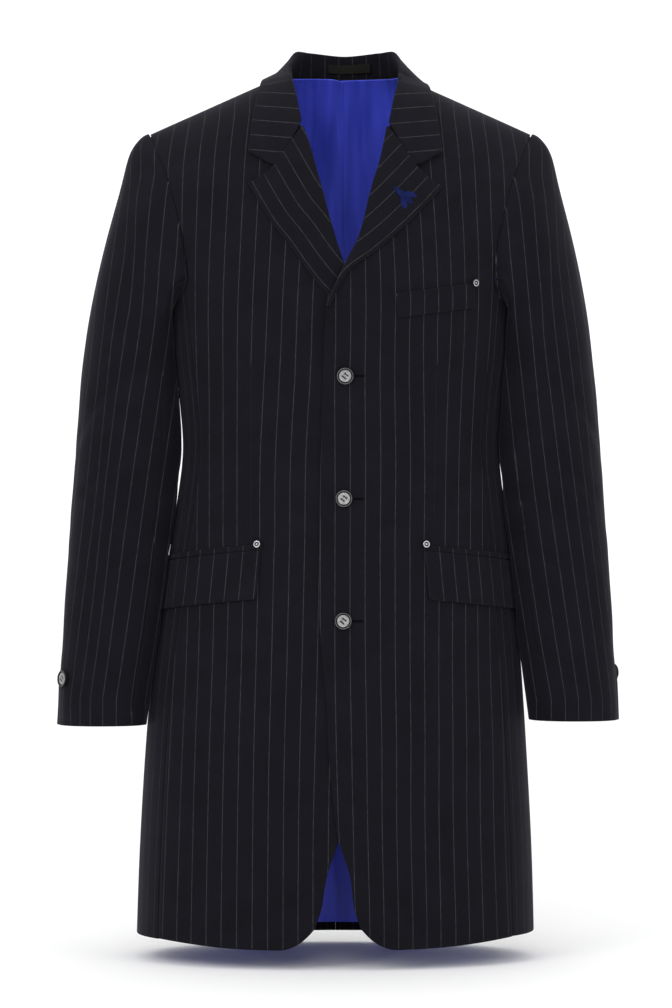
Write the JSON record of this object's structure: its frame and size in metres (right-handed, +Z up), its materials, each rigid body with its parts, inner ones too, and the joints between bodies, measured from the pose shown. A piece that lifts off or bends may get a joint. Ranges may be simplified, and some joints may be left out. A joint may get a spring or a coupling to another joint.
{
  "type": "long pinstripe blazer",
  "caption": "Long single-breasted wool blazer with turned lapels, flap pockets and chest welt, filled out as worn and hollow.",
  "frame": {"origin": "middle of the shoulder line at the neck, where the wearer's shoulders hold the garment up", "axes": "+Z up, the front faces -Y, the wearer's left is +X"},
  "size_m": [0.6282, 0.2826, 1.0111],
  "materials": {
    "wool": "matt brushed wool with thin chalk stripes",
    "lining": "satin",
    "label": "matt woven",
    "button": "polished horn look",
    "rivet": "polished"
  },
  "bodies": {
    "root": {"left_front": "wool", "right_front": "wool", "left_side_body": "wool", "right_side_body": "wool", "left_back": "wool", "right_back": "wool", "left_back_lining": "lining", "right_back_lining": "lining", "left_top_sleeve": "wool", "right_top_sleeve": "wool", "left_under_sleeve": "wool", "right_under_sleeve": "wool", "collar": "wool", "left_lapel": "wool", "right_lapel": "wool", "left_hip_flap": "wool", "right_hip_flap": "wool", "left_flap_jetting": "wool", "right_flap_jetting": "wool", "chest_welt": "wool", "neck_label": "label", "front_button_top": "button", "front_button_middle": "button", "front_button_lower": "button", "cuff_button_left": "button", "cuff_button_right": "button", "rivet_hip_left": "rivet", "rivet_hip_right": "rivet", "rivet_chest": "rivet"}
  },
  "joints": []
}
